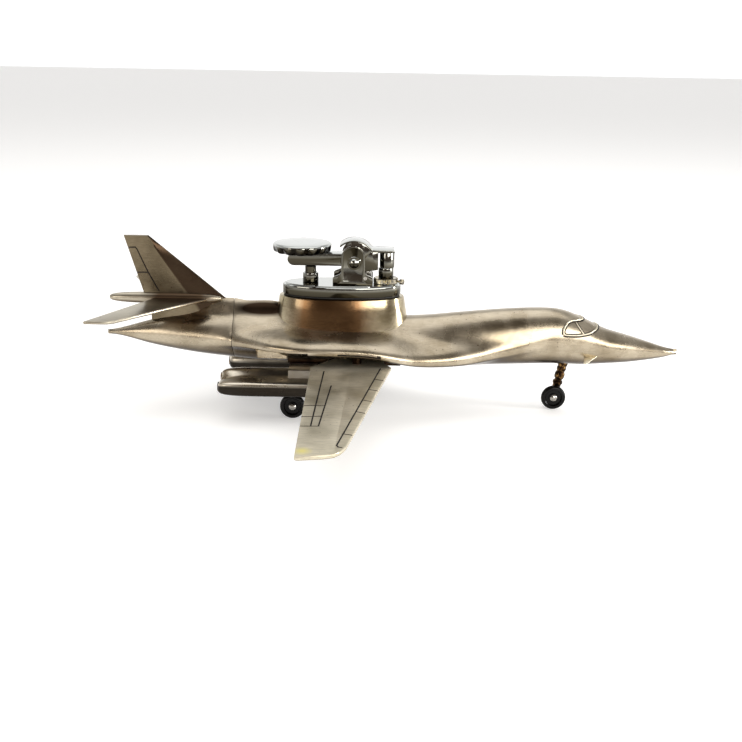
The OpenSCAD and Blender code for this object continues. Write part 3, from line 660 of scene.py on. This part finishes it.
# %% Fin with its engraved rudder
def fin_outline(height):
    """Trailing edge, ridge and leading edge of the fin at a height."""
    if height > 52.8:
        trail = -112.1 - 7.3 * (height - 52.8) / 25.2
    else:
        trail = -109.1 - 3 * max(height - 46, 0) / 6.8
    lead = min(-107.4 + 1.2 * (77 - height), -78.1 + max(52.6 - height, 0) * 2.06, SEAM_X - 0.2)
    ridge = -107.8 + 0.617 * (76.8 - height)
    return trail, min(ridge, lead - 0.4), lead


def fin_half_thickness(x, height):
    trail, ridge, lead = fin_outline(height)
    if x > ridge:
        return 0.15 + 0.85 * max(lead - x, 0) / (lead - ridge)
    return 0.6 + 0.4 * math.sin(math.pi / 2 * max(x - trail, 0) / max(ridge - trail, 0.1))


FIN_ROWS, FIN_COLUMNS, RIDGE_COLUMN = 26, 26, 14
nothing_selected()
bpy.ops.mesh.primitive_grid_add(x_subdivisions=FIN_COLUMNS, y_subdivisions=FIN_ROWS, size=2 * MM)
fin = named("fin")
for vert in fin.data.vertices:
    column, rise = (vert.co.x / MM + 1) / 2 * FIN_COLUMNS, (vert.co.y / MM + 1) / 2
    height = 37 + (78 - 37) * rise
    trail, ridge, lead = fin_outline(height)
    if column <= RIDGE_COLUMN:
        x = trail + (ridge - trail) * column / RIDGE_COLUMN
    else:
        x = ridge + (lead - ridge) * (column - RIDGE_COLUMN) / (FIN_COLUMNS - RIDGE_COLUMN)
    vert.co = Vector((x, -fin_half_thickness(x, height), height)) * MM
open_mesh(fin)
pick(fin, "edges", lambda e: e.is_boundary)
bpy.ops.mesh.extrude_edges_indiv()
bpy.ops.transform.resize(value=(1, 0, 1), center_override=(0, 0, 0))
close_mesh()
with_modifier(fin, "MIRROR", use_axis=(False, True, False), merge_threshold=0.01 * MM)
open_mesh(fin)
tidy_mesh(fin)
rudder = [(-118.4, 72.6), (-114.6, 72.8), (-113.9, 72), (-109.5, 61.6), (-105.1, 53.2)]
bars = score_lines([(rudder[i], rudder[i + 1]) for i in range(4)] + [((-115.2, 61.5), (-109.5, 61.6))],
                   0.55, -3, 3)
bars.data.transform(Matrix.Rotation(math.radians(90), 4, "X"))
cut(bars, block((-130, -0.4, 30), (-70, 0.4, 80)), crossing=True)
cut(fin, bars, crossing=True)
open_mesh(fin)
pick(fin, "verts", lambda v: v.co.x / MM < fin_outline(v.co.z / MM)[0] - 0.05)
bpy.ops.mesh.delete(type="VERT")
close_mesh()


def fin_groove(corners, normal):
    depth = [abs(c.y) for c in corners]
    return min(depth) > 0.38 and (max(depth) < 0.42 or abs(normal.y) < 0.3)


done(fin, "airframe", "antique_nickel", fin_shaded_nickel, "fin", smooth=20, groove_and_shade=fin_groove)

# %% Tailplane and bullet fairing
half_outline = [(-82.5, 0.5), (-114.5, 43), (-117, 44.4), (-126.6, 44.4), (-108, 4), (-108, 0.5)]
right_half = plate("tailplane", [(x, -y) for x, y in half_outline], 49.05, 50.35)
round_edges(right_half, 0.5, 3)
left_half = mirrored(right_half, "tailplane_left")
bullet = turned("bullet", [(0, 0), (0.8, 0.3), (1.35, 1.2), (1.7, 2.6), (2.1, 5.5), (2.4, 10), (2.6, 18), (2.7, 30),
                           (2.5, 38), (2.0, 45), (1.2, 49.8), (0, 51.2)], (-127.7, 0, 50), (1, 0, 0), 40)
tailplane = joined([right_half, left_half, bullet], "tailplane_and_bullet")
done(tailplane, "airframe", "antique_nickel", tailplane_painted_light_nickel, "tailplane", smooth=35)

# %% [markdown]
# The collar is a tapered oval ring, turned bright.  It is one closed loft: up the outside, over a rounded
# lip and down the socket wall.

# %% Collar
collar_path = [(61.8, 31.2, 34), (59.6, 28.8, 41.5), (57.4, 26.6, 48), (55.9, 25.1, 52.2), (55.4, 24.6, 52.8),
               (54.6, 23.8, 53.0), (51.4, 20.2, 53.0), (50.8, 19.6, 52.6), (50.6, 19.4, 51), (50.6, 19.4, 34)]
collar = lofted("lighter_collar", [oval_points(*ring) for ring in collar_path], closed=True)
done(collar, "airframe", "antique_nickel", collar_nickel, "lighter_collar", smooth=35)

# %% [markdown]
# Each engine pod is one casting, flat at the side, that rises inwards and ends in two rounded lobes.  Its
# section is a closed curve; towards the rear the two halves of the curve draw in on their own centres.

# %% Engine pods
# distance from the centre plane and height of points round the section
POD = [(27.5, 17.2), (27.2, 18.6), (26, 19.2), (24, 19.4), (21.5, 19.5), (19, 19.6), (17.4, 19.8), (15.8, 20.5),
       (14, 21.2), (12, 21.5), (10, 21.2), (8.4, 20.1), (7.6, 18.5), (7.4, 16.5), (7.8, 14.6), (9, 13.2),
       (11, 12.8), (14, 12.8), (17.4, 12.8), (20, 12.5), (22.5, 12.4), (25, 12.6), (26.7, 13.2), (27.4, 14.3)]
LOBES = [(22.3, 15.9), (12.5, 17.1)]
# place, share of the full section, how far the valley between the lobes is drawn in
POD_SHAPE = [(-76.3, 0.42, 0.9), (-76.0, 0.6, 0.85), (-75.3, 0.72, 0.75), (-74.2, 0.81, 0.6), (-72.5, 0.88, 0.42),
             (-70, 0.94, 0.25), (-67, 0.98, 0.12), (-62, 1, 0.05), (-52, 1, 0), (-40, 1, 0), (-28, 1, 0),
             (-18, 1, 0), (-13, 0.98, 0), (-10, 0.94, 0)]


def smooth_loop(points, parts):
    """A closed curve through points, each span divided into parts."""
    size = len(points)
    table = [(k,) + tuple(points[(k - 1) % size]) for k in range(size + 3)]
    return [(at(table, 1 + i / parts, 1), at(table, 1 + i / parts, 2)) for i in range(size * parts)]


def pod_ring(x, share, valley):
    ring = []
    for y, z in smooth_loop(POD, 3):
        side = min(max((y - 15.9) / 3, 0), 1)
        cy = LOBES[1][0] + (LOBES[0][0] - LOBES[1][0]) * side
        cz = LOBES[1][1] + (LOBES[0][1] - LOBES[1][1]) * side
        pinch = 1 - valley * max(0, 1 - abs(y - 17.4) / 3.2)
        ring.append((x, cy + share * (y - cy), cz + share * pinch * (z - cz)))
    return ring


pod = lofted("engine_pod", [pod_ring(*station) for station in POD_SHAPE])
cut(pod, block((-46, 9.2, 18), (-20, 20.2, 23.1)), "UNION")
for y, z in LOBES:
    mouth = [[(x, y + oval_radius(t, w, h, 3) * math.cos(t), z + oval_radius(t, w, h, 3) * math.sin(t))
              for t in (2 * math.pi * j / 32 for j in range(32))] for x, w, h in ((-13, 2.6, 2), (-9, 3.6, 3))]
    cut(pod, lofted("mouth", mouth))
    cut(pod, turned("tailpipe", [(0, 0), (2.1, 0), (2.1, 0.5), (1.8, 0.6), (1.8, 9), (0, 9)],
                    (-77, y, z), (1, 0, 0), 32))
round_edges(pod, 0.2, 2, 50)
done(pod, "airframe", "antique_nickel", duct_nickel, "nacelle_left", smooth=40)
near_pod = mirrored(pod, "engine_pod_right")
done(near_pod, "airframe", "antique_nickel", duct_nickel, "nacelle_right", smooth=40)

# %% [markdown]
# The wings are flat plates with rounded edges.  The slats and flaps are engraved: thin bars are joined into
# one cutter and taken out of the top.

# %% Wings
WING_TOP, WING_LOW, GROOVE_DEPTH = 27.9, 26.3, 0.3
wing_outline = arc(-16, 22, 12, 200, 360, 8) + [
    (-1.1, 28), (-17.6, 116), (-18.4, 118.4), (-19.6, 121), (-21.5, 123.2), (-25, 124.4), (-33.4, 126),
    (-34.6, 125.6), (-35.5, 29)]
slat = [((-5.7, 30), (-20.9, 115.7)), ((-20.9, 115.7), (-20.3, 117.2)), ((-20.3, 117.2), (-19.2, 117.6))]
slat_bars = [((-7.9, 44.5), (-3.2, 46.5)), ((-10.3, 57.4), (-5.6, 59.4)), ((-12.7, 70), (-8.0, 72)),
             ((-15, 82.9), (-10.4, 84.9)), ((-19.2, 105.2), (-14.6, 106.6))]
flap = [((-29.5, 35), (-30.9, 98.4)), ((-25.6, 53.6), (-28.1, 98.2)), ((-35.6, 77.4), (-27, 76.6)),
        ((-35.5, 89), (-27.7, 88.2)), ((-35.5, 98.4), (-28.1, 98.2))]
wing = plate("wing", wing_outline, WING_LOW, WING_TOP)
cut(wing, turned("pivot_hole", [(0, 20), (2.05, 20), (2.05, 35), (0, 35)], (-16, 22, 0), (0, 0, 1), 48))
round_edges(wing, 0.4, 3, 50)
cut(wing, score_lines(slat + slat_bars + flap, 0.6, WING_TOP - GROOVE_DEPTH, WING_TOP + 1), crossing=True)


def wing_groove(corners, normal):
    floor_z = WING_TOP - GROOVE_DEPTH
    heights = [c.z for c in corners]
    level = max(abs(z - floor_z) for z in heights) < 0.02
    wall = abs(normal.z) < 0.05 and min(heights) > floor_z - 0.02 and max(heights) > WING_TOP - 0.02
    return level or wall


done(wing, "wing_left", "wing_nickel", wing_nickel, "wing_left", smooth=35, groove_and_shade=wing_groove)
right_wing = mirrored(wing, "wing_starboard")
done(right_wing, "wing_right", "wing_nickel", wing_nickel, "wing_right", smooth=35, groove_and_shade=wing_groove)

# %% [markdown]
# The wheels are turned: a round tyre, a sunk black disc and a hub.  The nose strut is turned too, with
# beads and a collar.  It stands beside the one nose wheel and leans back down to its axle.

# %% Wheels
WHEEL_R = 5.65
tyre = [(1.02, -1.2), (2, -1.2), (2.1, -0.55), (3.55, -0.5), (3.8, -1.3), (4.05, -1.5), (4.7, -1.5), (5.2, -1.25),
        (5.52, -0.8), (5.65, -0.3)]
wheel_profile = tyre + [(r, -h) for r, h in reversed(tyre)]


def wheel(name, x, y):
    return turned(name, wheel_profile, (x, y, WHEEL_R), (0, 1, 0), 72)


NOSE_X, NOSE_Y, MAIN_X = 75, 0.4, -44.4
for name, x, y in (("nose_wheel", NOSE_X, NOSE_Y), ("main_wheel_right", MAIN_X, -17.3),
                   ("main_wheel_left", MAIN_X, 17.3)):
    done(wheel(name + "_turned", x, y), name, "black_lacquer", black_lacquer, name, smooth=30)

# %% Nose strut
STRUT_Y = 4.4
strut_profile = [(0, -1), (1.5, -0.8), (1.9, 0.4), (1.9, 5.2), (2.1, 5.6), (2.3, 6.2), (2.3, 6.7), (2.1, 7.1),
                 (1.7, 7.4), (1.7, 8), (2.1, 8.5), (2.3, 9.3), (2.3, 10.6), (2.0, 11.3), (1.8, 11.8), (2.1, 12.6),
                 (2.2, 13.4), (1.9, 14.2), (2.2, 14.9), (2.3, 15.6), (2.3, 20), (0, 20)]
lean = math.radians(11)
strut = turned("nose_strut_turned", strut_profile, (NOSE_X + 1.1, STRUT_Y, WHEEL_R),
               (math.sin(lean), 0, math.cos(lean)), 40)
eye = turned("eye", [(1.05, -2), (2.2, -2), (2.5, -1.7), (2.5, 1.9), (2.2, 2.2), (1.05, 2.2)],
             (NOSE_X, STRUT_Y, WHEEL_R), (0, 1, 0), 40)
cut(strut, turned("bore", [(0, -4), (1.05, -4), (1.05, 4), (0, 4)], (NOSE_X, STRUT_Y, WHEEL_R), (0, 1, 0), 40))
done(joined([strut, eye], "nose_strut_turned"), "airframe", "bronze", toned_bronze, "nose_strut", smooth=35)

# %% [markdown]
# The thumb disc is a thick chrome coin with a scalloped lower edge, cut straight on the side of the arm.

# %% Thumb disc
DISC_X = -40.9
disc = turned("thumb_disc_scalloped", [(0, 72), (9.8, 72), (11.4, 72.1), (12.3, 72.4), (12.8, 73), (13, 74),
                                       (13, 75.2), (12.8, 75.7), (12.4, 76.05), (11.6, 76.2), (6, 76.28), (0, 76.3)],
              (DISC_X, 0, 0), (0, 0, 1), 168)
for vert in disc.data.vertices:
    x, y, z = vert.co.x / MM - DISC_X, vert.co.y / MM, vert.co.z / MM
    reach = math.hypot(x, y)
    if 10 < reach and z < 75.0:
        dip = 0.5 + 0.5 * math.cos(14 * math.atan2(y, x))
        shrink = 1 - 0.075 * dip * min(1, (75.0 - z) / 1.5)
        vert.co = Vector((DISC_X + x * shrink, y * shrink, z)) * MM
cut(disc, block((-27.9, -20, 70), (-20, 20, 80)))
round_edges(disc, 0.2, 2, 60)
done(disc, "lever", "chrome", chrome, "thumb_disc", smooth=35)


# %% [markdown]
# The lighter's stampings are built from plates and lofts: the deck is a stepped oval, the bracket two
# arched ears with a raised border, and the arm a bent sheet between two side plates.

# %% Deck
deck = lofted("deck_stepped", [oval_points(*ring) for ring in (
    (52.0, 21.3, 53.7), (52.5, 21.8, 53.8), (52.7, 22, 54.1), (52.7, 22, 57.5), (52.5, 21.8, 57.85),
    (52.1, 21.4, 58), (50.4, 19.7, 58), (50.1, 19.4, 58.15), (50.0, 19.3, 58.45), (49.7, 19, 58.6))])
for x, radius in ((-37.3, 2.55), (-12.9, 2.2), (-3.8, 2.4)):
    cut(deck, turned("hole", [(0, 50), (radius, 50), (radius, 62), (0, 62)], (x, 0, 0), (0, 0, 1), 40))
done(deck, "insert", "chrome", chrome, "deck_plate", smooth=35)

# %% Bracket
ear_outline = ([(-27.2, 58.6), (-9.6, 58.6), (-9.6, 61.9), (-10.2, 62.5), (-12.4, 63.4), (-13.1, 64.2)]
               + arc(-18.3, 70.8, 5.2, 0, 180, 18) + [(-23.5, 64.2), (-24.2, 63.4), (-26.6, 62.5), (-27.2, 61.9)])
panel_outline = ([(-22.5, 60.4), (-14.1, 60.4)] + arc(-18.3, 70.8, 4.2, 0, 180, 18))
ear = upright("lever_bracket_bent", ear_outline, -7, -6)
cut(ear, upright("panel", panel_outline, -8, -6.8))
round_edges(ear, 0.13, 2, 50)
washer = turned("washer", [(1.5, 6.75), (2.9, 6.75), (2.9, 6.9), (2.8, 7), (1.5, 7)], (-17.9, 0, 68.4), (0, -1, 0), 40)
near_side = joined([ear, washer], "near_side")
strap = block((-27.0, -6.4, 58.62), (-18, 6.4, 59.4))
bracket = joined([near_side, mirrored(near_side, "far_side"), strap], "lever_bracket_bent")
open_mesh(bracket)
tidy_mesh(bracket)
done(bracket, "insert", "chrome", chrome, "lever_bracket", smooth=35)

# %% Snuffer arm and cap
LEVER_X, LEVER_Z = -17.9, 68.4
sheet_outline = (arc(LEVER_X, LEVER_Z, 9.8, 132, 36, 20) + [(-0.8, 74), (-0.2, 73.6), (-0.1, 72.95), (-10.2, 72.9)]
                 + arc(LEVER_X, LEVER_Z, 9, 32, 132, 20))
sheet = round_edges(upright("snuffer_arm_bent", sheet_outline, -5.6, 5.6), 0.25, 3, 50)
cheek_outline = (arc(LEVER_X, LEVER_Z, 4.6, 110, 290, 16) + [(-7.6, 65.3), (-7.4, 65.6), (-7.4, 73.3), (-10.6, 73.3)]
                 + arc(LEVER_X, LEVER_Z, 9.2, 38, 100, 10))
cheek = round_edges(upright("cheek", cheek_outline, -5.6, -4.6), 0.15, 2, 50)
bore = [(0, -9), (1.55, -9), (1.55, 9), (0, 9)]
cut(cheek, turned("bore", bore, (LEVER_X, 0, LEVER_Z), (0, 1, 0), 40))
arm = joined([sheet, cheek, mirrored(cheek, "far_cheek")], "snuffer_arm_bent")
open_mesh(arm)
tidy_mesh(arm)
done(arm, "snuffer", "chrome", chrome, "snuffer_arm", smooth=35)

cap = turned("snuffer_cap_drawn", [(0, 71.6), (2.6, 71.6), (2.6, 65.8), (2.75, 65.7), (3.1, 65.7), (3.25, 65.85),
                                   (3.25, 72.5), (3.1, 72.8), (2.8, 72.9), (0, 72.9)], (-3.4, 0, 0), (0, 0, 1), 56)
done(cap, "snuffer", "chrome", chrome, "snuffer_cap", smooth=35)

# %% Knurled adjuster ring
def knurl_ring(radius, z, depth=0.0):
    turns = [math.pi * i / 44 for i in range(88)]
    radii = [radius - depth * (i % 2) for i in range(88)]
    return [(-3.8 + r * math.cos(t), r * math.sin(t), z) for r, t in zip(radii, turns)]


adjuster = lofted("adjuster_ring_knurled", [knurl_ring(5.2, 58.7, 0.2), knurl_ring(5.45, 58.95, 0.35),
                                            knurl_ring(5.45, 60.7, 0.35), knurl_ring(5.1, 61, 0.15),
                                            knurl_ring(2.45, 61), knurl_ring(2.45, 58.7)], closed=True)
done(adjuster, "adjuster", "brass", knurled_steel, "adjuster_ring", smooth=25)

# %% [markdown]
# The small turned and cut parts are already right in the frame.  Each is copied, its loose triangles merged
# and its flat faces made whole, and its edges rounded, because plate lives by its edges.

# %% Round the edges of the stamped and turned parts
def from_frame(node, width, segments=2, angle=35):
    source = frame["nodes"][node]
    piece = source.copy()
    piece.data = source.data.copy()
    piece.name = node + "_rounded"
    piece.data.name = piece.name
    bpy.context.collection.objects.link(piece)
    piece.parent = None
    open_mesh(piece)
    bpy.ops.mesh.select_all(action="SELECT")
    bpy.ops.mesh.remove_doubles(threshold=0.002 * MM)
    bpy.ops.mesh.dissolve_limited(angle_limit=math.radians(1))
    close_mesh()
    return round_edges(piece, width, segments, angle)


STAMPED = {
    "plunger_sleeve": ("insert", "chrome", chrome, 0.2, 2),
    "burner_guard": ("insert", "chrome", chrome, 0.12, 2),
    "thumb_lever": ("lever", "chrome", chrome, 0.35, 3),
    "deck_gasket": ("insert", "gasket_rubber", black_ring_finish, 0.15, 2),
    "adjuster_pin": ("adjuster", "brass", knurled_steel, 0.08, 2),
    # The belly plate and wing pins take the near-black finish as painted shadow.
    "belly_plate": ("airframe", "antique_nickel", shadow_nickel, 0.3, 2),
    "wing_pin_right": ("airframe", "steel", shadow_nickel, 0.1, 1),
    "wing_pin_left": ("airframe", "steel", shadow_nickel, 0.1, 1),
    "exhaust_nozzles": ("airframe", "bronze", toned_bronze, 0.08, 2),
}
for node, (body_name, slot_name, finish, width, segments) in STAMPED.items():
    done(from_frame(node, width, segments), body_name, slot_name, finish, node, smooth=35)

# %% [markdown]
# The other frame parts keep their own meshes and only take a finish.

# %% Finishes for the parts that stay as they are
SLOT_FINISH = {"antique_nickel": antique_nickel, "wing_nickel": wing_nickel, "chrome": chrome,
               "bronze": toned_bronze, "black_lacquer": black_lacquer, "steel": bright_steel,
               "flint_alloy": flint_alloy, "brass": gilt_brass, "gasket_rubber": black_ring_finish}
for row in frame["record"]["subparts"]:
    kept = frame["nodes"][row["node"]]
    kept.data.materials.clear()
    kept.data.materials.append(SLOT_FINISH[row["material_slot"]])

# %% [markdown]
# The studio: a wide pale floor under a pale sky, so that no horizon shows.  Metal shows what is round it, so
# the room is drawn in broad tones: bright low down behind the model, grey above it, dim behind the camera,
# with a window of light to the right for the long highlight on the nose, a narrow strip for the streak on the
# collar, a faint window to the left, and a weak panel overhead.

# %% Floor, lights and room
nothing_selected()
bpy.ops.mesh.primitive_plane_add(size=60, location=(0, 0, 0))
floor = named("floor")
floor.data.materials.append(new_finish("pale_floor", Base_Color=linear("#F6F5F3"), Roughness=0.7,
                                       Emission_Color=linear("#FFFFFF"), Emission_Strength=0.3)[0])


def soft_light(name, place, target, size, power, tint="#FFFFFF"):
    data = bpy.data.lights.new(name, "AREA")
    data.shape = "RECTANGLE"
    data.size, data.size_y = size
    data.energy = power
    data.color = linear(tint)[:3]
    lamp = bpy.data.objects.new(name, data)
    bpy.context.collection.objects.link(lamp)
    lamp.location = place
    aim = Vector(target) - Vector(place)
    lamp.rotation_euler = aim.to_track_quat("-Z", "Y").to_euler()


soft_light("overhead", (-0.1, 0.2, 1.3), (0, 0, 0), (1.6, 1.3), 7)
soft_light("window_right", (0.55, -1.05, 0.5), (0.03, 0, 0.04), (0.9, 0.5), 10, "#FFFDF8")
soft_light("strip_right", (1.1, -0.2, 0.3), (0, 0, 0.05), (0.12, 0.5), 9)
soft_light("window_left", (-0.8, -0.9, 0.35), (-0.05, 0, 0.04), (0.45, 0.35), 2, "#FFF9F0")

room = bpy.data.worlds.new("room")
bpy.context.scene.world = room
room.use_nodes = True
room_tree = room.node_tree
way = add_node(room_tree, "SeparateXYZ", {"Vector": add_node(room_tree, "TexCoord").outputs["Generated"]})
rise = ramp(room_tree, way.outputs["Z"],
            [(0.36, grey(1.0)), (0.5, grey(0.6)), (0.75, grey(0.47)), (0.97, grey(0.55))])
depth = ramp(room_tree, add_node(room_tree, "MapRange", {"Value": way.outputs["Y"]}, {1: -1.0, 2: 1.0})
             .outputs["Result"], [(0.15, linear("#6E6258")), (0.6, linear("#FFFFFF"))])
tone = add_node(room_tree, "Mix", {6: rise, 7: depth}, {0: 1.0}, data_type="RGBA", blend_type="MULTIPLY").outputs[2]
room_tree.links.new(tone, room_tree.nodes["Background"].inputs["Color"])
room_tree.nodes["Background"].inputs["Strength"].default_value = 1.2
bpy.context.scene.view_settings.view_transform = "Standard"

# %% [markdown]
# The camera stands well back to the right-hand side, looking 18 degrees down, turned one degree on its own
# axis.

# %% Camera
camera_data = bpy.data.cameras.new("camera")
camera_data.lens = 45.35
camera_data.sensor_width = 36
camera_data.clip_start = 0.01
camera = bpy.data.objects.new("camera", camera_data)
bpy.context.collection.objects.link(camera)
camera.matrix_world = (Matrix.Translation((-0.0097, -0.409, 0.1499)) @ Matrix.Rotation(math.radians(72), 4, "X")
                       @ Matrix.Rotation(math.radians(1.0), 4, "Z"))
bpy.context.scene.camera = camera

# %% Leave nothing selected
nothing_selected()
